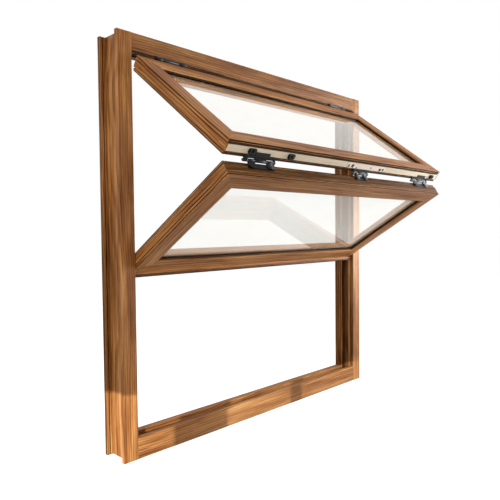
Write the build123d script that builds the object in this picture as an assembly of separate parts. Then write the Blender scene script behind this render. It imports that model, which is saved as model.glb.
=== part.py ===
from build123d import *
import math
import os

os.makedirs("parts", exist_ok=True)

# Up-folding window of two glazed sashes in an outer frame, millimetres
# +X to the right seen from outside, +Y from the outside to the inside, +Z up
# The origin is the middle of the front sill flange's underside

# Outer frame
frame_w = 1235.0
frame_h = 1250.0
frame_d = 106.0
flange_t = 14.0
flange_out = 19.0
jamb_face = 49.0
head_face = 52.0
sill_face = 62.0
lip_recess = 11.0
rib_step = 4.0
track_depth = 19.0
rear_step = 11.0
rib_front = (21.0, 30.0)
rib_rear = (64.0, 71.0)
rear_land = 80.0
key_groove = (4.0, 2.0)
front_y = -flange_t / 2

# Sash section
sash_t = 44.0
sash_face = 57.0
side_clear = 2.0
lip_t = 2.0
face_bevel = (9.0, 3.5)
edge_groove_1 = (2.0, 5.5, 4.0)
edge_strip_1 = (5.5, 11.0, 0.5)
edge_groove_2 = (11.0, 14.0, 3.0)
edge_land = (14.0, 34.0, 1.0)
edge_groove_3 = (34.0, 37.0, 4.5)
edge_strip_2 = (37.0, 41.5, 2.5)
seal_seat = 6.0
seal_inset = 3.5
seal_proud = 0.5
glass_y = 12.0
glass_t = 6.0
glass_clear = 2.0
stop_hold = 5.0
stop_w = sash_face + stop_hold
bead_w = 3.0
slot_w = 3.0
slot_depth = 2.0
slot_end = 30.0

# Folded pose
top_angle = 53.1
low_angle = 58.5
top_sash_h = 475.0
low_sash_h = 486.0

# Head hinges
head_pivot_y = -7.5
head_pivot_drop = 60.0
head_barrel_r = 6.8
head_pin_r = 3.0
head_gap = 17.5
head_offset = -0.3
head_leaf_t = 2.0
head_leaf_w = 30.0
head_knuckles = (24.0, 61.0, 30.0)
head_hinge_inset = 76.0
head_web_t = 4.0
knuckle_gap = 0.5
pin_clear = 0.3
trim_t = 3.6
trim_r = 2.0

# Fold hinges
fold_barrel_r = 4.4
fold_pin_r = 2.2
fold_gap = 5.0
fold_offset = 4.0
fold_leaf_t = 2.5
fold_leaf_reach = 1.7
fold_len = 118.0
fold_lugs = ((14.0, 39.0), (84.0, 111.0))
fold_plate = (38.0, 92.0)
fold_hinge_inset = 71.0
mid_hinge_len = 84.0
mid_hinge_lugs = ((8.0, 28.0), (52.0, 74.0))
mid_hinge_x = 37.0
lug_drop = 17.0
lug_t = 3.5

# Locking rail
strip_depth = 3.0
strip_lift = 0.6
strip_end = 7.0
gear_x = 63.0
gear_len = 220.0
gear_w = 17.0
gear_slots = (
    (-104.0, 7.0, 9.0, 2.0), (-84.0, 12.0, 11.0, 1.0), (-61.0, 5.0, 5.0, 6.0),
    (21.0, 5.0, 6.0, 0.0), (78.0, 14.0, 9.0, 2.0), (96.0, 10.0, 9.0, 1.0),
)
cam_len = 30.0
cam_w = 16.0
cam_inset = (94.0, 247.0, 48.0)

# Bottom drip board and seal
board_t = 6.0
board_out = 8.0
board_in = 32.0
drip_out = 9.0

# Lower guides
roller_r = 16.6
roller_w = 10.0
axle_r = 4.0
arm_t = 4.0
arm_drop = 20.0
arm_reach = 26.0

sash_w = frame_w - 2 * jamb_face - 2 * side_clear
half_w = frame_w / 2
half_s = sash_w / 2
track_mid = (rib_front[1] + rib_rear[0]) / 2


def save(shape, name):
    shape.label = name
    export_step(shape, f"parts/{name}.step")


def prism_x(points, x0, x1):
    # a (y, z) outline drawn out along X
    face = make_face(Polyline([(x0, y, z) for y, z in points], close=True))
    return extrude(face, amount=x1 - x0, dir=(1, 0, 0))


def prism_z(points, z0, z1):
    # an (x, y) outline drawn out along Z
    face = make_face(Polyline([(x, y, z0) for x, y in points], close=True))
    return extrude(face, amount=z1 - z0, dir=(0, 0, 1))


def prism_y(points, y0, y1):
    # an (x, z) outline drawn out along Y
    face = make_face(Polyline([(x, y0, z) for x, z in points], close=True))
    return extrude(face, amount=y1 - y0, dir=(0, 1, 0))


def block(x0, x1, y0, y1, z0, z1):
    return Pos((x0 + x1) / 2, (y0 + y1) / 2, (z0 + z1) / 2) * Box(x1 - x0, y1 - y0, z1 - z0)


def rod(x0, x1, y, z, r):
    return Pos((x0 + x1) / 2, y, z) * Rot(0, 90, 0) * Cylinder(r, x1 - x0)


def frame_section(face):
    # (w, y) outline, w inwards from the outer edge, y from the outside face
    rear = face - rear_step
    lip = face - lip_recess
    rib = face - rib_step
    track = face - track_depth
    g, gd = key_groove
    return [
        (0, 0), (face, 0), (face, flange_t), (lip, flange_t), (lip, rib_front[0]),
        (rib, rib_front[0]), (rib, rib_front[1]), (track, rib_front[1]), (track, rib_rear[0]),
        (rib, rib_rear[0]), (rib, rib_rear[1]), (track + g, rib_rear[1]), (track + g, rear_land),
        (rear, rear_land), (rear, frame_d), (0, frame_d), (0, frame_d - flange_t),
        (flange_out / 2 - g / 2, frame_d - flange_t), (flange_out / 2 - g / 2, frame_d - flange_t + gd),
        (flange_out / 2 + g / 2, frame_d - flange_t + gd), (flange_out / 2 + g / 2, frame_d - flange_t),
        (flange_out, frame_d - flange_t), (flange_out, flange_t), (0, flange_t),
    ]


# Outer frame: full-height jambs, head and sill scribed between them
jamb_left = prism_z([(-half_w + w, front_y + y) for w, y in frame_section(jamb_face)], 0, frame_h)
jamb_right = mirror(jamb_left, about=Plane.YZ)
reach = half_w - flange_out
head = prism_x([(front_y + y, frame_h - w) for w, y in frame_section(head_face)], -reach, reach)
sill = prism_x([(front_y + y, w) for w, y in frame_section(sill_face)], -reach, reach)
head = head - jamb_left - jamb_right
sill = sill - jamb_left - jamb_right
save(jamb_left, "jamb_left")
save(jamb_right, "jamb_right")
save(head, "head_member")
save(sill, "sill_member")


def sash_section():
    # (w, t) outline, w inwards from the sash's outer edge, t from its outside face
    bw, bd = face_bevel
    pts = [(0, 0), (sash_face - bw, 0), (sash_face, bd), (sash_face, glass_y + glass_t)]
    pts += [(stop_w, glass_y + glass_t), (stop_w, sash_t - 4), (stop_w - 4, sash_t), (seal_seat, sash_t)]
    pts += [(seal_seat, edge_strip_2[1])]
    pts += [(edge_strip_2[2], edge_strip_2[1]), (edge_strip_2[2], edge_strip_2[0])]
    pts += [(edge_groove_3[2], edge_groove_3[1]), (edge_groove_3[2], edge_groove_3[0])]
    pts += [(edge_land[2], edge_land[1]), (edge_land[2], edge_land[0])]
    pts += [(edge_groove_2[2], edge_groove_2[1]), (edge_groove_2[2], edge_groove_2[0])]
    pts += [(edge_strip_1[2], edge_strip_1[1]), (edge_strip_1[2], edge_strip_1[0])]
    pts += [(edge_groove_1[2], edge_groove_1[1]), (edge_groove_1[2], edge_groove_1[0]), (0, lip_t)]
    return pts


def ring(height, w0, w1, t0, t1):
    # a picture-frame ring between two distances from the sash's edge
    outer = block(-half_s + w0, half_s - w0, t0, t1, w0, height - w0)
    inner = block(-half_s + w1, half_s - w1, t0 - 1, t1 + 1, w1, height - w1)
    return outer - inner


def sash_members(height):
    # four mitred members of an upright sash: outside face at Y 0, bottom edge at Z 0
    sec = sash_section()
    m = stop_w + 5
    low_end = [(-half_s, 0), (half_s, 0), (half_s - m, m), (-half_s + m, m)]
    left_end = [(-half_s, 0), (-half_s + m, m), (-half_s + m, height - m), (-half_s, height)]
    cut_low = prism_y(low_end, -1, sash_t + 1)
    cut_left = prism_y(left_end, -1, sash_t + 1)
    low = prism_x([(t, w) for w, t in sec], -half_s, half_s) & cut_low
    left = prism_z([(-half_s + w, t) for w, t in sec], 0, height) & cut_left
    t_mid = (edge_land[0] + edge_land[1]) / 2
    slot = block(
        -half_s - 1, -half_s + edge_land[2] + slot_depth, t_mid - slot_w / 2, t_mid + slot_w / 2,
        slot_end, height - slot_end,
    )
    left = left - slot
    right = mirror(left, about=Plane.YZ)
    top = mirror(low, about=Plane.XY.offset(height / 2))
    return {"top_rail": top, "bottom_rail": low, "left_stile": left, "right_stile": right}


def glazing(height):
    pane = block(
        -half_s + sash_face + glass_clear, half_s - sash_face - glass_clear, glass_y, glass_y + glass_t,
        sash_face + glass_clear, height - sash_face - glass_clear,
    )
    bead = ring(height, sash_face, sash_face + bead_w, face_bevel[1] + 1, glass_y)
    seal = ring(height, seal_inset, seal_seat, edge_strip_2[1], sash_t + seal_proud)
    return pane, bead, seal


# Placing the sashes: the top one hangs from the head pivot, the lower one from the fold pivot
head_y = front_y + head_pivot_y
head_z = frame_h - head_pivot_drop
ta = math.radians(top_angle)
la = math.radians(low_angle)


def turn(angle, t, z):
    # where an upright sash's (t, z) goes when its foot swings outwards by an angle
    c, s = math.cos(angle), math.sin(angle)
    return t * c + z * s, -t * s + z * c


ty, tz = turn(ta, head_offset, -head_gap - top_sash_h)
top_y, top_z = head_y + ty, head_z + tz
ty, tz = turn(ta, sash_t + fold_offset, -fold_gap)
fold_y, fold_z = top_y + ty, top_z + tz
ty, tz = turn(-la, sash_t + fold_offset, low_sash_h + fold_gap)
low_y, low_z = fold_y - ty, fold_z - tz
place_top = Pos(0, top_y, top_z) * Rot(-top_angle, 0, 0)
place_low = Pos(0, low_y, low_z) * Rot(low_angle, 0, 0)

# Locking rail: a recess in the top sash's bottom rail holds the strip
top_parts = sash_members(top_sash_h)
strip_x = half_s - strip_end
strip_z = edge_land[2] - strip_lift
strip_floor = edge_land[2] + strip_depth
recess = block(-strip_x, strip_x, edge_land[0], edge_land[1], -1, strip_floor)
top_parts["bottom_rail"] = top_parts["bottom_rail"] - recess
strip = block(-strip_x, strip_x, edge_land[0] + 0.5, edge_land[1] - 0.5, strip_z, strip_floor)
strip_mid = (edge_land[0] + edge_land[1]) / 2
gear_z = edge_land[2] + 0.4
gear_box = (
    gear_x - gear_len / 2, gear_x + gear_len / 2, strip_mid - gear_w / 2, strip_mid + gear_w / 2,
)
gear = block(*gear_box, strip_z - 2, gear_z)
gear = chamfer(gear.edges().filter_by(Axis.Z), 4.0)
for gx, w, h, lift in gear_slots:
    mid = strip_mid + lift
    near, far = gear_x + gx - w / 2, gear_x + gx + w / 2
    gear = gear - block(near, far, mid - h / 2, mid + h / 2, -3, strip_z - 1)
strip = strip - block(*gear_box, -3, gear_z)
cam_x = (-half_s + cam_inset[0], -half_s + cam_inset[1], half_s - cam_inset[2])
cams = []
for cx in cam_x:
    near, far = cx - cam_len / 2, cx + cam_len / 2
    front, back = strip_mid - cam_w / 2, strip_mid + cam_w / 2
    base = block(near, far, front, back, strip_z - 2.5, strip_z)
    base = chamfer(base.edges().filter_by(Axis.Z), 4.0)
    hook = block(near + 2, near + 8, front + 1, back - 1, strip_z - 7, strip_z)
    stud = Pos(cx + 3, strip_mid, strip_z - 3.5) * Cylinder(4.5, 7.0)
    cams.append(base + hook + stud)
for name, solid in top_parts.items():
    save(place_top * solid, f"top_sash_{name}")
pane, bead, seal = glazing(top_sash_h)
save(place_top * pane, "top_sash_glass")
save(place_top * bead, "top_sash_beads")
save(place_top * seal, "top_sash_seal")
save(place_top * strip, "lock_rail_strip")
save(place_top * gear, "lock_gearbox_plate")
for name, cam in zip(("outer_left", "inner_left", "outer_right"), cams):
    save(place_top * cam, f"lock_cam_{name}")

# Lower sash: its bottom rail ends in a drip board with a seal along the outer edge
low_parts = sash_members(low_sash_h)
board = block(-half_s, half_s, -board_out, board_in, -board_t, 0)
board += block(-half_s, half_s, edge_land[0] + 0.5, board_in, -1, edge_land[2])
low_parts["bottom_rail"] = low_parts["bottom_rail"] + board
for name, solid in low_parts.items():
    save(place_low * solid, f"low_sash_{name}")
pane, bead, seal = glazing(low_sash_h)
save(place_low * pane, "low_sash_glass")
save(place_low * bead, "low_sash_beads")
save(place_low * seal, "low_sash_seal")
drip = [
    (-board_out, -0.5), (-board_out, -board_t + 0.5),
    (-board_out - drip_out, -board_t + 2), (-board_out - drip_out, -board_t + 4),
]
save(place_low * prism_x(drip, -half_s, half_s), "low_sash_drip_seal")


# Head hinges: the end knuckles belong to the head's leaf, the middle one to the sash's leaf
def head_hinge(x0):
    length = sum(head_knuckles)
    a = x0 + head_knuckles[0]
    b = a + head_knuckles[1]
    bore = rod(x0 - 5, x0 + length + 5, head_y, head_z, head_pin_r + pin_clear)
    top = frame_h - head_face
    web_y = (head_y + head_pin_r + 1, front_y + head_web_t)
    frame_leaf = block(x0, x0 + length, front_y, front_y + flange_t, top - head_leaf_t, top)
    for u, v in ((x0, a), (b, x0 + length)):
        frame_leaf += rod(u, v, head_y, head_z, head_barrel_r)
        frame_leaf += block(u, v, *web_y, head_z - head_web_t / 2, top - head_leaf_t)
    z_pin = top_sash_h + head_gap
    z_land = top_sash_h - edge_land[2]
    sash_leaf = block(x0, x0 + length, 0.3, head_leaf_w, top_sash_h, top_sash_h + head_leaf_t)
    sash_leaf += block(x0, x0 + length, edge_land[0] + 0.3, head_leaf_w, z_land, top_sash_h)
    u, v = a + knuckle_gap, b - knuckle_gap
    sash_leaf += rod(u, v, -head_offset, z_pin, head_barrel_r)
    sash_leaf += block(u, v, 0.3, head_web_t, top_sash_h, z_pin)
    pin = rod(x0 - 1.5, x0 + length + 1.5, head_y, head_z, head_pin_r)
    return frame_leaf - bore, place_top * sash_leaf - bore, pin


head_len = sum(head_knuckles)
left_x = -half_s + head_hinge_inset
right_x = half_s - head_hinge_inset - head_len
for side, x0 in (("left", left_x), ("right", right_x)):
    frame_leaf, sash_leaf, pin = head_hinge(x0)
    save(frame_leaf, f"head_hinge_{side}_frame_leaf")
    save(sash_leaf, f"head_hinge_{side}_sash_leaf")
    save(pin, f"head_hinge_{side}_pin")

# Head trim: a slim ledge along the hinge line, cut back to its rear strip behind the hinges
under_head = frame_h - head_face
trim_half = half_w - jamb_face
rear_y = front_y + head_web_t + 2
trim_low, trim_high = head_z - trim_t / 2, head_z + trim_t / 2
ledge = [
    (head_y - trim_r, trim_low), (head_y - trim_r, trim_high), (rear_y, trim_high),
    (rear_y, under_head), (rear_y + 2, under_head), (rear_y + 2, trim_low),
]
trim = prism_x(ledge, -trim_half, trim_half)
for x0 in (left_x, right_x):
    trim -= block(x0 - 4, x0 + head_len + 4, head_y - 20, rear_y - 0.5, head_z - 10, under_head)
    trim -= block(x0, x0 + head_len, head_y, rear_y + 5, under_head - head_leaf_t, under_head + 1)
save(trim, "head_trim")


# Fold hinges: two lugs on the lower sash carry the pin, the upper leaf's knuckles lie between
def fold_hinge(x0, length, lugs, plate):
    bore = rod(x0 - 5, x0 + length + 5, fold_y, fold_z, fold_pin_r + pin_clear)
    t_pin = sash_t + fold_offset
    ends = [x0]
    for u, v in lugs:
        ends += [x0 + u - knuckle_gap, x0 + v + knuckle_gap]
    ends.append(x0 + length)
    seat = edge_strip_2[2]
    back = edge_strip_2[1] + fold_leaf_reach
    upper = block(x0, x0 + length, edge_land[1] + 0.4, back, -fold_leaf_t, seat)
    if plate:
        u, v = x0 + plate[0], x0 + plate[1]
        upper += block(u, v, strip_mid + 1, edge_land[1] + 1, -fold_leaf_t, strip_z)
    for u, v in zip(ends[0::2], ends[1::2]):
        upper += rod(u, v, t_pin, -fold_gap, fold_barrel_r)
        upper += block(u, v, edge_strip_2[1] - 2, t_pin, -fold_leaf_t - 2, -fold_leaf_t + 1)
    z_e = low_sash_h - edge_land[2]
    z_f = low_sash_h + fold_leaf_t
    near, far = x0 + lugs[0][0], x0 + lugs[1][1]
    lower = block(near, far, edge_land[1] - 8, edge_strip_2[1], z_f - 1, z_f)
    lower += block(near, far, edge_land[1] - 8, edge_land[1] - 0.4, z_e, z_f)
    for u, v in lugs:
        lower += rod(x0 + u, x0 + v, t_pin, low_sash_h + fold_gap, fold_barrel_r)
        mid = x0 + (u + v) / 2
        r = (v - u) / 2
        tab_t = t_pin - lug_drop + r * 0.6
        lower += block(x0 + u, x0 + v, tab_t, t_pin, z_f, z_f + lug_t)
        lower += Pos(mid, tab_t, z_f + lug_t / 2) * Cylinder(r, lug_t)
    pin = rod(x0 - 1, x0 + length + 1, fold_y, fold_z, fold_pin_r)
    pin += rod(x0 - 3.5, x0, fold_y, fold_z, fold_pin_r + 1.4)
    return place_top * upper - bore, place_low * lower - bore, pin


fold_sets = {
    "left": (-half_s + fold_hinge_inset, fold_len, fold_lugs, fold_plate),
    "middle": (mid_hinge_x - mid_hinge_len / 2, mid_hinge_len, mid_hinge_lugs, None),
    "right": (half_s - fold_hinge_inset - fold_len, fold_len, fold_lugs, fold_plate),
}
for side, sizes in fold_sets.items():
    upper, lower, pin = fold_hinge(*sizes)
    save(upper, f"fold_hinge_{side}_upper_leaf")
    save(lower, f"fold_hinge_{side}_lower_leaf")
    save(pin, f"fold_hinge_{side}_pin")

# Lower guides: an arm under the lower sash's foot carries a roller in the jamb's track
roll_y = front_y + track_mid
t_mid = (edge_land[0] + board_in) / 2
# the roller's height is where the track's middle meets the line an arm's drop below the sash's edge
roll_t = (roll_y - low_y + arm_drop * math.sin(-la)) / math.cos(la)
ty, tz = turn(-la, roll_t, -arm_drop)
roll_z = low_z + tz
arm_x = half_s - arm_t - 8
track_x = half_w - jamb_face + track_depth
foot = block(arm_x - arm_reach, arm_x + arm_t, t_mid - 8, t_mid + 8, -board_t - 3, -board_t)
pts = []
knee = [(t_mid - 8, -board_t), (t_mid + 8, -board_t)]
knee += [(roll_t + 6, -arm_drop - 3), (roll_t - 6, -arm_drop - 3)]
for t, z in knee:
    ty, tz = turn(-la, t, z)
    pts.append((low_y + ty, low_z + tz))
web = prism_x(pts, arm_x, arm_x + arm_t)
arm_right = place_low * foot + web + rod(arm_x + 1, track_x - 2, roll_y, roll_z, axle_r)
roller = rod(track_x - 3 - roller_w, track_x - 3, roll_y, roll_z, roller_r)
roller_right = roller - rod(track_x - 30, track_x, roll_y, roll_z, axle_r + 0.05)
save(arm_right, "guide_arm_right")
save(mirror(arm_right, about=Plane.YZ), "guide_arm_left")
save(roller_right, "guide_roller_right")
save(mirror(roller_right, about=Plane.YZ), "guide_roller_left")
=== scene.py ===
import math

import bmesh
import bpy
from mathutils import Matrix, Vector

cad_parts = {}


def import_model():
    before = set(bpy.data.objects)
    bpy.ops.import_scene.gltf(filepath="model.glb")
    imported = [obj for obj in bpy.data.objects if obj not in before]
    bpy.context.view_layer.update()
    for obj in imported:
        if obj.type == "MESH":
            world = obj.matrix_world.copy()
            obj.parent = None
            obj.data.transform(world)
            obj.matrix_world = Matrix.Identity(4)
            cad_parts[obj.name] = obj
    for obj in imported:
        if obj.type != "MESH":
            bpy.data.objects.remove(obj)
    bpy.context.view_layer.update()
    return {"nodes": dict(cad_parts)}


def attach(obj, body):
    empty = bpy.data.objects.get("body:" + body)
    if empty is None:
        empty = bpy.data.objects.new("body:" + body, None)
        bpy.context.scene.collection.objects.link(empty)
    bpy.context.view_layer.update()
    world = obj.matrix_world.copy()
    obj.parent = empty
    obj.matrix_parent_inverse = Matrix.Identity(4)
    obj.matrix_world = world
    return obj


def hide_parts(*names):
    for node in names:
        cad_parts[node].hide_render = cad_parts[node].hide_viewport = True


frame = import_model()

nodes = frame["nodes"]

# Places from the part's source, metres and degrees
HALF_W = 0.6175  # frame, half its width
HALF_S = 0.5665  # sash, half its width
HEIGHT = 1.25
FRONT_Y = -0.007  # front face of the outer frame
SASH_T = 0.044
TOP = {"y": -0.4085248, "z": 0.8945329, "angle": 53.1, "h": 0.475}
LOW = {"y": 0.0098633, "z": 0.5556725, "angle": -58.5, "h": 0.486}

# Depths into a sash from its front, near the edges of what the source has there
EDGE_GROOVES = ((0.0021, 0.0054), (0.0111, 0.0139), (0.0341, 0.0369))
EDGE_STRIP = (0.0054, 0.0111)
SEAL_SEAT = (0.040, SASH_T - 0.0002)
GLASS_REBATE = (0.0036, SASH_T - 0.003)
BEHIND_PANE = 0.019
PANE_MIDDLE = 0.015

PANE_SHARE = 0.88  # thickness of the scene's pane against the source's
PANE_EDGE = 0.0598  # from the sash's outside to the clear part of the pane

# Depths into the outer frame from its front, near the edges of what the source has there
BEHIND_FRONT_FLANGE = 0.0145
FRONT_RIB = (0.021, 0.030)
REAR_RIB = (0.064, 0.071)
BEHIND_RIBS = 0.072
REAR_FLANGE = (0.0915, 0.1055)
REAR_GROOVE = 0.0925

# Bevels
WEIGHT_WIDTH = 0.002  # what a bevel weight of 1 stands for
SHARP = math.radians(26)


def local(place, co):
    # a world point in an upright sash's own x, depth and height
    a = math.radians(place["angle"])
    c, s = math.cos(a), math.sin(a)
    y, z = co[1] - place["y"], co[2] - place["z"]
    return Vector((co[0], y * c - z * s, y * s + z * c))


def world(place, co):
    a = math.radians(place["angle"])
    c, s = math.cos(a), math.sin(a)
    return Vector((co[0], place["y"] + co[1] * c + co[2] * s, place["z"] - co[1] * s + co[2] * c))


def placed(name, data):
    obj = bpy.data.objects.new(name, data)
    bpy.context.scene.collection.objects.link(obj)
    return obj


class Tree:
    # the nodes of a new material, or of the world
    def __init__(self, name, owner=None, output="ShaderNodeOutputMaterial"):
        self.mat = owner or bpy.data.materials.new(name)
        self.mat.use_nodes = True
        self.nt = self.mat.node_tree
        self.nt.nodes.clear()
        self.out = self.nt.nodes.new(output)

    def add(self, kind, **props):
        node = self.nt.nodes.new(kind)
        for key, value in props.items():
            setattr(node, key, value)
        return node

    def link(self, a, b):
        self.nt.links.new(a, b)

    def put(self, socket, value):
        if hasattr(value, "is_output"):
            self.link(value, socket)
        else:
            socket.default_value = value

    def math(self, op, a, b=0.0):
        node = self.add("ShaderNodeMath", operation=op)
        self.put(node.inputs[0], a)
        self.put(node.inputs[1], b)
        return node.outputs[0]

    def times(self, value, factor):
        return self.math("MULTIPLY", value, factor)

    def total(self, *terms):
        # the weighted sum of (value, weight) pairs
        out = None
        for value, weight in terms:
            part = self.times(value, weight)
            out = part if out is None else self.math("ADD", out, part)
        return out

    def split(self, vector):
        node = self.add("ShaderNodeSeparateXYZ")
        self.link(vector, node.inputs[0])
        return node.outputs[0], node.outputs[1], node.outputs[2]

    def join(self, x, y, z):
        node = self.add("ShaderNodeCombineXYZ")
        for socket, value in zip(node.inputs, (x, y, z)):
            self.put(socket, value)
        return node.outputs[0]

    def noise(self, vector, scale, detail=4.0, rough=0.55, distort=0.0, out="Fac"):
        node = self.add("ShaderNodeTexNoise")
        self.link(vector, node.inputs["Vector"])
        node.inputs["Scale"].default_value = scale
        node.inputs["Detail"].default_value = detail
        node.inputs["Roughness"].default_value = rough
        node.inputs["Distortion"].default_value = distort
        return node.outputs[out]

    def ramp(self, fac, stops):
        node = self.add("ShaderNodeValToRGB")
        els = node.color_ramp.elements
        while len(els) < len(stops):
            els.new(0.5)
        for el, (pos, col) in zip(els, stops):
            el.position = pos
            el.color = (*col, 1.0)
        self.put(node.inputs["Fac"], fac)
        return node.outputs["Color"]

    def mix(self, fac, a, b, mode="MIX"):
        node = self.add("ShaderNodeMix", data_type="RGBA", blend_type=mode)
        self.put(node.inputs["Factor"], fac)
        self.put(node.inputs[6], a)
        self.put(node.inputs[7], b)
        return node.outputs[2]

    def spread(self, value):
        # a noise's middle range stretched to 0 to 1
        return self.span(value, 0.3, 0.7, 0, 1)

    def span(self, value, a0, a1, b0, b1):
        node = self.add("ShaderNodeMapRange")
        self.put(node.inputs["Value"], value)
        for key, num in zip(("From Min", "From Max", "To Min", "To Max"), (a0, a1, b0, b1)):
            node.inputs[key].default_value = num
        return node.outputs["Result"]

    def coords(self, rot=(0, 0, 0), scale=(1, 1, 1)):
        node = self.add("ShaderNodeMapping")
        self.link(self.add("ShaderNodeTexCoord").outputs["Object"], node.inputs["Vector"])
        node.inputs["Rotation"].default_value = rot
        node.inputs["Scale"].default_value = scale
        return node.outputs["Vector"]

    def shader(self, colour, rough, **values):
        node = self.add("ShaderNodeBsdfPrincipled")
        self.put(node.inputs["Base Color"], colour)
        self.put(node.inputs["Roughness"], rough)
        for key, value in values.items():
            node.inputs[key.replace("_", " ")].default_value = value
        self.link(node.outputs[0], self.out.inputs["Surface"])
        return node

    def bump(self, node, height, distance, strength):
        b = self.add("ShaderNodeBump")
        b.inputs["Distance"].default_value = distance
        b.inputs["Strength"].default_value = strength
        self.link(height, b.inputs["Height"])
        self.link(b.outputs[0], node.inputs["Normal"])


def srgb(r, g, b, k=1.0):
    # linear values of an 8-bit colour, with a tone factor
    vals = (min(255, c * k) / 255 for c in (r, g, b))
    return tuple(((c + 0.055) / 1.055) ** 2.4 if c > 0.04045 else c / 12.92 for c in vals)


WOOD_TONES = (
    (0.18, (72, 34, 10)), (0.36, (118, 69, 28)), (0.50, (149, 96, 48)),
    (0.65, (177, 124, 71)), (0.84, (206, 156, 102)),
)
RING_TONES = ((0.0, 0.25), (0.14, 0.85), (0.55, 0.65), (0.9, 0.12), (1.0, 0.25))
RING_WIDTH = 0.0075
WANDER = 0.013


def wood(name, along, tilt=0.0, seed=0.0, tone=1.0, core=(0.09, 0.06), shine=0.2, heart=0.36):
    # stained timber: growth rings about a wandering core line, streaks, fibres and pores
    t = Tree(name)
    x, y, z = t.split(t.coords(rot=(math.radians(tilt), 0, 0)))
    a, u, v = (x, y, z) if along == "X" else (z, x, y)

    # distance from the core, and the same point squeezed along the grain
    wander = t.noise(t.join(t.times(a, 1.5), seed, 0.0), 1.0, 2.0, out="Color")
    wu, wv, _ = t.split(wander)
    pu = t.math("ADD", u, t.span(wu, 0.3, 0.7, core[0] - WANDER, core[0] + WANDER))
    pv = t.math("ADD", v, t.span(wv, 0.3, 0.7, core[1] - WANDER, core[1] + WANDER))
    radius = t.math("SQRT", t.math("ADD", t.times(pu, pu), t.times(pv, pv)))
    shift = t.math("ADD", u, seed * 0.37)
    thin = t.join(t.times(a, 0.028), shift, v)
    thinner = t.join(t.times(a, 0.018), shift, v)
    wide = t.join(t.times(a, 0.12), shift, v)

    broad = t.noise(wide, 22, 3, 0.5, 0.3)
    streak = t.noise(thin, 120, 5, 0.62, 0.5)
    fibre = t.noise(thinner, 560, 3, 0.6)
    pores = t.noise(thinner, 1250, 2, 0.5)
    phase = t.math("ADD", t.math("DIVIDE", radius, RING_WIDTH), t.times(streak, 1.1))
    rings = t.ramp(t.math("FRACT", phase), [(at, (level,) * 3) for at, level in RING_TONES])
    value = t.total(
        (rings, 0.24), (t.spread(streak), 0.36), (t.spread(broad), 0.28), (t.spread(fibre), 0.12),
    )

    # stain, greyer bands, dark figure and pores
    col = t.ramp(value, [(at, srgb(*rgb, tone)) for at, rgb in WOOD_TONES])
    dull = t.mix(1.0, col, (*srgb(196, 186, 178), 1), "MULTIPLY")
    dull = t.mix(0.35, dull, (*srgb(128, 98, 66, tone), 1))
    col = t.mix(t.span(broad, 0.42, 0.62, 0.0, 0.22), col, dull)
    clouds = t.join(t.times(a, 2.6), t.times(shift, 16), t.times(v, 16))
    figure = t.ramp(t.noise(clouds, 1.0, 3, 0.5, 0.6), [(0.42, (1, 1, 1)), (0.60, (0.52, 0.46, 0.38))])
    col = t.mix(heart, col, figure, "MULTIPLY")
    specks = t.ramp(pores, [(0.30, (0.42, 0.36, 0.32)), (0.42, (1, 1, 1))])
    col = t.mix(0.8, col, specks, "MULTIPLY")

    p = t.shader(col, t.span(streak, 0.3, 0.7, 0.60, 0.46), Specular_IOR_Level=shine)
    t.bump(p, t.total((value, 0.7), (pores, 0.3)), 0.0007, 0.6)
    return t.mat


def plain(name, col, rough, metal=0.0, spread=0.15, scale=300, grain=None, **values):
    # moulded, rubbed or brushed surface: mottled tone and sheen with a fine bump
    t = Tree(name)
    c = t.coords(scale=grain or (1, 1, 1))
    n = t.noise(c, scale, 4)
    wear = t.noise(t.coords(), 45, 5, 0.65)
    base = srgb(*col)
    lo = tuple(x * (1 - spread) for x in base)
    hi = tuple(min(1, x * (1 + spread)) for x in base)
    both = t.total((n, 0.6), (wear, 0.4))
    r = t.span(wear, 0.3, 0.7, rough - 0.08, rough + 0.08)
    p = t.shader(t.ramp(both, [(0.38, lo), (0.62, hi)]), r, Metallic=metal, **values)
    t.bump(p, n, 0.00025, 0.35)
    return t.mat


def glass(name, haze_low, haze_high, tint):
    # clear glass with a thin uneven haze, which lets a lamp's light through
    t = Tree(name)
    g = t.shader((0.975, 0.985, 0.97, 1), 0.0, IOR=1.33, Transmission_Weight=1.0)
    film = t.add("ShaderNodeMixShader")
    for i, kind in enumerate(("ShaderNodeBsdfDiffuse", "ShaderNodeBsdfTranslucent")):
        side = t.add(kind)
        side.inputs["Color"].default_value = (*srgb(*tint), 1)
        t.link(side.outputs[0], film.inputs[1 + i])
    haze = t.add("ShaderNodeMixShader")
    smear = t.noise(t.coords(rot=(0.4, 0, 0.5), scale=(1, 3, 1)), 3.0, 4)
    t.link(t.span(smear, 0.3, 0.7, haze_low, haze_high), haze.inputs[0])
    t.link(g.outputs[0], haze.inputs[1])
    t.link(film.outputs[0], haze.inputs[2])
    clear = t.add("ShaderNodeBsdfTransparent")
    mix = t.add("ShaderNodeMixShader")
    t.link(t.add("ShaderNodeLightPath").outputs["Is Shadow Ray"], mix.inputs[0])
    t.link(haze.outputs[0], mix.inputs[1])
    t.link(clear.outputs[0], mix.inputs[2])
    t.link(mix.outputs[0], t.out.inputs["Surface"])
    return t.mat


def settle(piece, node, mats):
    # a mesh that has its materials keeps them, as a second list would clear its faces' indices
    if not piece.data.materials:
        for mat in mats:
            piece.data.materials.append(mat)
    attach(piece, "root")
    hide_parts(node)


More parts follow.
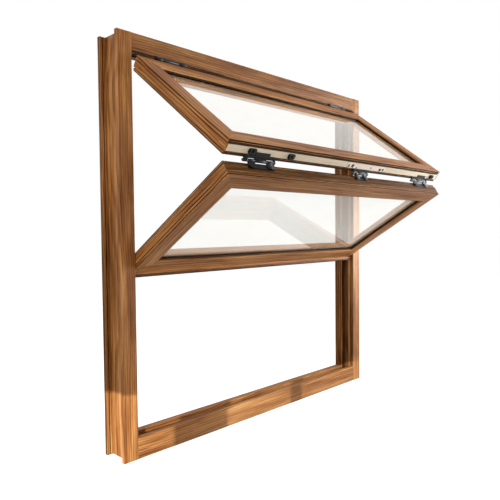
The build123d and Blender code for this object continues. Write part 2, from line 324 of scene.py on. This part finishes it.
def bevelled(node, mats, weigh, zone=None, segments=2):
    # the node's shape again with every outside arris rounded by its own width;
    # zone gives a face's material, and an arris takes the second one
    bm = bmesh.new()
    bm.from_mesh(nodes[node].data)
    bmesh.ops.remove_doubles(bm, verts=bm.verts, dist=1e-5)
    bmesh.ops.dissolve_limit(bm, angle_limit=math.radians(0.6), verts=bm.verts, edges=bm.edges)
    layer = bm.edges.layers.float.new("bevel_weight_edge")
    for f in bm.faces:
        f.material_index = zone(f) if zone else 0
    for e in bm.edges:
        if len(e.link_faces) == 2 and e.calc_face_angle_signed(0) > SHARP:
            e[layer] = weigh(e) / WEIGHT_WIDTH
    mesh = bpy.data.meshes.new(f"round_{node}")
    bm.to_mesh(mesh)
    bm.free()
    piece = placed(f"round_{node}", mesh)
    mod = piece.modifiers.new("round", "BEVEL")
    mod.limit_method = "WEIGHT"
    mod.width = WEIGHT_WIDTH
    mod.segments = segments
    mod.use_clamp_overlap = True
    if len(mats) > 1:
        mod.material = 1
    for mat in mats:
        mesh.materials.append(mat)
    shape = piece.evaluated_get(bpy.context.evaluated_depsgraph_get())
    done = bpy.data.meshes.new_from_object(shape)
    piece.modifiers.clear()
    piece.data = done
    settle(piece, node, mats)
    return piece


def new_piece(node, bm, mats):
    name = f"round_{node}"
    mesh = bpy.data.meshes.new(name)
    bmesh.ops.recalc_face_normals(bm, faces=bm.faces)
    bm.to_mesh(mesh)
    bm.free()
    settle(placed(name, mesh), node, mats)


def mitred_ring(bm, place, outline, index):
    # a mitred ring round the sash opening from a closed outline of
    # (distance from the sash's outside, depth from its front)
    loops = []
    for sx, sz in ((-1, 0), (1, 0), (1, 1), (-1, 1)):
        row = []
        for w, t in outline:
            h = w if sz == 0 else place["h"] - w
            row.append(bm.verts.new(world(place, (sx * (HALF_S - w), t, h))))
        loops.append(row)
    n = len(outline)
    for i in range(4):
        a, b = loops[i], loops[(i + 1) % 4]
        for j in range(n):
            k = (j + 1) % n
            bm.faces.new((a[j], a[k], b[k], b[j])).material_index = index


BEAD_NOSE = (
    (0.0572, 0.0040), (0.0586, 0.0041), (0.0596, 0.0049), (0.0600, 0.0062), (0.0600, 0.0078),
    (0.0572, 0.0078),
)
BEAD_GASKET = (
    (0.0572, 0.0080), (0.0603, 0.0080), (0.0608, 0.0092), (0.0603, 0.0108), (0.0606, 0.0117),
    (0.0572, 0.0117),
)


def beads(node, place):
    # a wooden bead with a rounded nose, then the gasket that presses on the glass
    bm = bmesh.new()
    mitred_ring(bm, place, BEAD_NOSE, 0)
    mitred_ring(bm, place, BEAD_GASKET, 1)
    # the bead's wood is darkened to 0.42 as painted shade in the rebate
    wooden = wood(f"wood_{node}", "X", place["angle"], 2.2, 0.42, shine=0.04)
    new_piece(node, bm, [wooden, gasket])


# (depth, height) in the lower sash's frame, below its foot
DRIP_CARRIER = (
    (-0.0080, -0.0006), (-0.0080, -0.0054), (-0.0142, -0.0046), (-0.0147, -0.0034), (-0.0142, -0.0022),
)
DRIP_LIP = (
    (-0.0146, -0.0026), (-0.0146, -0.0044), (-0.0162, -0.0044), (-0.0170, -0.0036), (-0.0162, -0.0028),
)


def drip_seal(node):
    # a brown carrier along the drip board, and the thin black lip that hangs from it
    bm = bmesh.new()
    for index, outline in enumerate((DRIP_CARRIER, DRIP_LIP)):
        a, b = (
            [bm.verts.new(world(LOW, (x, t, h))) for t, h in outline] for x in (-HALF_S, HALF_S)
        )
        n = len(outline)
        for j in range(n):
            k = (j + 1) % n
            bm.faces.new((a[j], a[k], b[k], b[j])).material_index = index
        for end in (a, b):
            bm.faces.new(end).material_index = index
    carrier = plain("drip_carrier", (92, 58, 32), 0.5, Specular_IOR_Level=0.05)
    new_piece(node, bm, [carrier, rubber])


def arris(limit, short):
    # rounding in metres: a share of the narrower side along a member, and less at its ends
    def weigh(e):
        length = e.calc_length()
        if length < 0.2:
            return short
        narrow = min(f.calc_area() / length for f in e.link_faces)
        return min(limit, narrow * 0.3)
    return weigh


def sash_zone(place, meeting):
    # 0 face, 2 grooves, 3 the rebate in front of the glass, 4 the meeting rails' edge strips; 2, 3 and 4 take
    # darker tones as painted shade
    # (w is the distance from the sash's outside, t the depth from its front)
    def zone(f):
        x, t, h = local(place, f.calc_center_median())
        w = min(HALF_S - abs(x), h, place["h"] - h)
        if meeting and w < 0.004:
            if t < EDGE_GROOVES[0][0] and w < 0.0005:
                return 2
            if meeting == "low" or EDGE_STRIP[0] < t < EDGE_STRIP[1] or t > EDGE_GROOVES[2][1]:
                return 4
        if w < 0.006 and any(t0 < t < t1 for t0, t1 in EDGE_GROOVES):
            return 2
        if w < 0.0065 and SEAL_SEAT[0] < t < SEAL_SEAT[1]:
            return 2
        if w > 0.0565 and GLASS_REBATE[0] < t < GLASS_REBATE[1]:
            return 3 if t < BEHIND_PANE else 0
        return 0
    return zone


def frame_zone(side):
    # 0 face, 2 grooves, 3 tracks and rib sides, 4 the flanges' edges; 2, 3 and 4 take darker tones as painted
    # shade
    # (w is the distance from the frame's outside, y the depth from its front)
    def zone(f):
        c, n = f.calc_center_median(), f.normal
        if side == "jamb":
            w, inward = HALF_W - abs(c.x), -n.x * (1 if c.x > 0 else -1)
        elif side == "head":
            w, inward = HEIGHT - c.z, -n.z
        else:
            w, inward = c.z, n.z
        y = c.y - FRONT_Y
        if w < 0.0205 and REAR_FLANGE[0] < y < REAR_FLANGE[1]:
            if inward < -0.5 and w < 0.001:
                return 4
            return 2 if y > REAR_GROOVE else 0
        if w < 0.025 or y < 0.0005 or y > REAR_FLANGE[1]:
            return 0
        if inward > 0.5:
            if y < BEHIND_FRONT_FLANGE or y > BEHIND_RIBS:
                return 4
            if side == "jamb" and any(a < y < b for a, b in (FRONT_RIB, REAR_RIB)):
                return 0
        return 3
    return zone


# Outer frame, each member's materials in the order of frame_zone's numbers
for side, k, heart in (("left", 1, 0.75), ("right", 2, 0.36)):
    args = {"along": "Z", "seed": 3.1 * k, "core": (0.075, 0.05), "heart": heart}
    name = f"jamb_{side}"
    mats = [
        # the arris tone is lighter: painted highlight along the rounded edges, and edge wear
        wood(f"wood_{name}", tone=1.0, **args), wood(f"highlit_worn_arris_{name}", tone=1.13, **args),
        # grooves, tracks, rib sides and flange edges: darker tones as painted shade
        wood(f"painted_shade_groove_{name}", tone=0.6, shine=0.05, **args), wood(f"painted_shade_inner_{name}", tone=0.6, shine=0.05, **args),
        wood(f"painted_shade_edge_{name}", tone=0.66, shine=0.06, **args),
    ]
    bevelled(name, mats, arris(0.0016, 0.0007), frame_zone("jamb"))
# inner and edge are the painted shade tones of the tracks, rib sides and flange edges
for name, seed, inner, edge in (("head_member", 5.3, 0.7, 0.8), ("sill_member", 6.7, 0.86, 0.92)):
    args = {"along": "X", "seed": seed, "core": (0.03, 0.08)}
    mats = [
        # the arris tone is lighter: painted highlight along the rounded edges, and edge wear
        wood(f"wood_{name}", tone=0.89, **args), wood(f"highlit_worn_arris_{name}", tone=1.0, **args),
        # grooves, tracks, rib sides and flange edges: darker tones as painted shade
        wood(f"painted_shade_groove_{name}", tone=0.4, shine=0.05, **args),
        wood(f"painted_shade_inner_{name}", tone=inner, shine=0.08, **args),
        wood(f"painted_shade_edge_{name}", tone=edge, shine=0.12, **args),
    ]
    bevelled(name, mats, arris(0.0016, 0.0005), frame_zone(name[:4]))
args = {"along": "X", "seed": 9.9}
# the whole trim is darkened as painted shade under the head, its arrises a little lighter as painted highlight
# and edge wear
mats = [
    wood("wood_head_trim", tone=0.5, shine=0.08, **args),
    wood("highlit_worn_arris_head_trim", tone=0.62, shine=0.1, **args),
    wood("painted_shade_under_head_trim", tone=0.12, shine=0.03, **args),
]
# downward faces take the near-black painted shade
bevelled("head_trim", mats, arris(0.0006, 0.0003), lambda f: 2 if f.normal.z < -0.5 else 0)

# Sashes, each member's materials in the order of sash_zone's numbers
for sash, place in (("top", TOP), ("low", LOW)):
    for i, rail in enumerate(("top_rail", "bottom_rail", "left_stile", "right_stile")):
        args = {
            "along": "X" if "rail" in rail else "Z", "tilt": place["angle"],
            "seed": 8.2 + 1.9 * i + (4.4 if sash == "low" else 0), "core": (0.06, 0.09),
        }
        name = f"{sash}_sash_{rail}"
        meeting = {"top_sash_bottom_rail": "top", "low_sash_top_rail": "low"}.get(name)
        mats = [
            # the arris tone is lighter: painted highlight along the rounded edges, and edge wear
            wood(f"wood_{name}", tone=1.0, **args), wood(f"highlit_worn_arris_{name}", tone=1.12, **args),
            # grooves and the rebate in front of the glass: darker tones as painted shade
            wood(f"painted_shade_groove_{name}", tone=0.14 if meeting else 0.36, shine=0.04, **args),
            wood(f"shade_{name}", tone=0.45, shine=0.05, **args),
        ]
        # the meeting rails' edge strips: darker tones as painted shade, darkest on the top sash's downward edge
        if meeting:
            mats.append(wood(f"painted_shade_strip_{name}", tone=0.28 if meeting == "top" else 0.62, shine=0.06, **args))
        bevelled(name, mats, arris(0.0011, 0.0003), sash_zone(place, meeting))

# Glass, seals, strip and hardware
rubber = plain("black_rubber", (12, 10, 9), 0.7, Specular_IOR_Level=0.05)
gasket = plain("glazing_gasket", (26, 13, 6), 0.7, Specular_IOR_Level=0.04)
black = plain("black_hardware", (9, 9, 10), 0.36, Specular_IOR_Level=0.22)
steel = plain("blackened_pin", (58, 56, 55), 0.32, 0.85)
pale = plain("pale_strip", (222, 204, 178), 0.45, spread=0.06, scale=260, grain=(0.04, 1, 1))
plate = plain("lock_plate", (236, 220, 206), 0.4, 0.1, spread=0.06)
nylon = plain("roller_nylon", (42, 41, 40), 0.5)
clear = {
    "top": glass("glass_top", 0.045, 0.075, (250, 238, 214)),
    "low": glass("glass_low", 0.07, 0.11, (250, 244, 230)),
}
for name in nodes:
    place = TOP if name.startswith("top") else LOW
    if "glass" in name:
        # a pane with a dark sealed edge
        pane = bevelled(name, [clear[name[:3]], gasket], arris(0.0004, 0.0004), segments=1)
        for v in pane.data.vertices:
            x, t, h = local(place, v.co)
            v.co = world(place, (x, PANE_MIDDLE + (t - PANE_MIDDLE) * PANE_SHARE, h))
        for f in pane.data.polygons:
            x, t, h = local(place, f.center)
            inside = HALF_S - abs(x) > PANE_EDGE and PANE_EDGE < h < place["h"] - PANE_EDGE
            f.material_index = 0 if inside else 1
    elif name == "low_sash_drip_seal":
        drip_seal(name)
    elif "seal" in name:
        bevelled(name, [rubber], arris(0.0006, 0.0003))
    elif "beads" in name:
        beads(name, place)
    elif "pin" in name:
        bevelled(name, [steel], arris(0.0004, 0.0004))
    elif name.startswith(("head_hinge", "fold_hinge", "lock_cam", "guide_arm")):
        bevelled(name, [black], arris(0.0005, 0.0005), segments=1)
    elif name.startswith("guide_roller"):
        bevelled(name, [nylon], arris(0.0008, 0.0008))
bevelled("lock_rail_strip", [pale], arris(0.0005, 0.0003))
plate_face = min(local(TOP, v.co)[2] for v in nodes["lock_gearbox_plate"].data.vertices)


def gear_zone(f):
    # 2 floor and walls of the plate's slots
    return 2 if 0.0003 < local(TOP, f.calc_center_median())[2] - plate_face < 0.0012 else 0


bevelled("lock_gearbox_plate", [plate, plate, black], arris(0.0003, 0.0003), gear_zone)


# Floor, light and camera
FLOOR_HALF = 60.0
FLOOR_Z = -0.0006
FLOOR_ALBEDO = 0.45
FLOOR_GLOW = 0.79  # for camera rays, so that the lit floor comes out white
SKY_LIGHT = 0.5  # strength on the object, where the background is 1
CARD_SHARE = 0.2  # a card's place on the way from the sun lamp to its shadow

# Shadows on the plane of the frame's face: left, right, lower edge at each, upper edge
SHADES = (
    (-1.4, -0.566, 0.359, 0.1925, 1.4),
    (-0.566, 1.4, 0.085, 0.085, 1.4),
    (-0.437, -0.207, -0.3, -0.3, 0.2),
    (0.13, 0.20, -0.3, -0.3, 0.2),
)


def mirrored(t, paths):
    return t.math("MAXIMUM", paths.outputs["Is Glossy Ray"], paths.outputs["Is Transmission Ray"])


def flat(name, corners, mat):
    mesh = bpy.data.meshes.new(name)
    mesh.from_pydata(corners, [], [(0, 1, 2, 3)])
    mesh.materials.append(mat)
    return placed(name, mesh)


def stage_floor():
    # pale floor, plain white to camera rays, mirrors and glass
    t = Tree("floor")
    d = t.add("ShaderNodeBsdfDiffuse")
    d.inputs["Color"].default_value = (FLOOR_ALBEDO, FLOOR_ALBEDO, FLOOR_ALBEDO, 1)
    e = t.add("ShaderNodeEmission")
    paths = t.add("ShaderNodeLightPath")
    t.link(t.times(paths.outputs["Is Camera Ray"], FLOOR_GLOW), e.inputs["Strength"])
    both = t.add("ShaderNodeAddShader")
    t.link(d.outputs[0], both.inputs[0])
    t.link(e.outputs[0], both.inputs[1])
    white = t.add("ShaderNodeEmission")
    pick = t.add("ShaderNodeMixShader")
    t.link(mirrored(t, paths), pick.inputs[0])
    t.link(both.outputs[0], pick.inputs[1])
    t.link(white.outputs[0], pick.inputs[2])
    t.link(pick.outputs[0], t.out.inputs["Surface"])
    corners = [(sx * FLOOR_HALF, sy * FLOOR_HALF, FLOOR_Z) for sx, sy in ((-1, -1), (1, -1), (1, 1), (-1, 1))]
    floor = flat("floor", corners, t.mat)


def studio_world():
    # even white light, and a white background to camera rays, mirrors and glass
    studio = bpy.data.worlds.new("studio")
    bpy.context.scene.world = studio
    t = Tree("studio", studio, "ShaderNodeOutputWorld")
    paths = t.add("ShaderNodeLightPath")
    seen = t.math("MAXIMUM", paths.outputs["Is Camera Ray"], mirrored(t, paths))
    bg = t.add("ShaderNodeBackground")
    bg.inputs["Color"].default_value = (1, 1, 1, 1)
    t.link(t.span(seen, 0, 1, SKY_LIGHT, 1.0), bg.inputs["Strength"])
    t.link(bg.outputs[0], t.out.inputs["Surface"])


def lamp(name, kind, loc, aim, power, colour):
    light = bpy.data.lights.new(name, kind)
    light.energy = power
    light.color = colour
    obj = placed(name, light)
    obj.location = loc
    obj.rotation_euler = (Vector(aim) - Vector(loc)).to_track_quat("-Z", "Y").to_euler()
    return light


def area(name, loc, aim, size, power, colour=(1, 1, 1), spread=180):
    light = lamp(name, "AREA", loc, aim, power, colour)
    light.size = size
    light.spread = math.radians(spread)


def shutter(source, corners):
    # a card near a lamp whose shadow falls on the given corners
    t = Tree("shutter")
    d = t.add("ShaderNodeBsdfDiffuse")
    d.inputs["Color"].default_value = (0.02, 0.02, 0.02, 1)
    t.link(d.outputs[0], t.out.inputs["Surface"])
    start = Vector(source)
    card = flat("shutter", [start + CARD_SHARE * (Vector(co) - start) for co in corners], t.mat)
    card.visible_camera = card.visible_glossy = card.visible_transmission = False


def sunlight(source, power, colour):
    # the low sun of the photo: it falls on the near jamb's foot and on parts of the sill
    light = lamp("sun_patch", "SPOT", source, (0, 0, 0.1), power, colour)
    light.spot_size = math.radians(18)
    light.spot_blend = 0.1
    light.shadow_soft_size = 0.0017
    for x0, x1, z0, z1, top in SHADES:
        shutter(source, [(x, FRONT_Y, z) for x, z in ((x0, z0), (x1, z1), (x1, top), (x0, top))])


stage_floor()
studio_world()
area("key", (-0.5, -1.7, 4.1), (0, -0.2, 0.7), 1.0, 30, (1.0, 0.96, 0.88))
area("left", (-3.9, -1.8, 1.2), (-0.2, 0, 0.6), 1.6, 94, (1.0, 0.97, 0.89))
area("low", (1.3, -2.6, 0.3), (0.3, -0.1, 0.7), 1.2, 3)
area("right", (1.8, -1.0, 0.9), (0.65, -0.1, 0.75), 0.9, 10, (1.0, 1.0, 1.0), 60)
area("back", (-0.6, 3.4, 1.9), (0, 0, 0.6), 1.6, 42, (1.0, 0.97, 0.9))
sunlight((-3.4, -2.6, 1.0), 1500, (0.95, 0.98, 1.0))


def photo_camera():
    # turns in radians and the place, fitted to the frame's and sashes' corners in the photo
    az, el, roll = -0.79743, 0.03596, -0.01009
    data = bpy.data.cameras.new("photo_camera")
    data.sensor_width = 36.0
    data.lens = 38.51
    fwd = Vector((-math.sin(az) * math.cos(el), math.cos(az) * math.cos(el), -math.sin(el)))
    right = Vector((math.cos(az), math.sin(az), 0))
    up = right.cross(fwd)
    c, s = math.cos(roll), math.sin(roll)
    rolled_right = c * right + s * up
    rolled_up = -s * right + c * up
    obj = placed("photo_camera", data)
    turn = Matrix((rolled_right, rolled_up, -fwd)).transposed().to_4x4()
    obj.matrix_world = Matrix.Translation((-1.45233, -1.33871, 0.67399)) @ turn
    bpy.context.scene.camera = obj


photo_camera()
bpy.context.scene.view_settings.view_transform = "Standard"
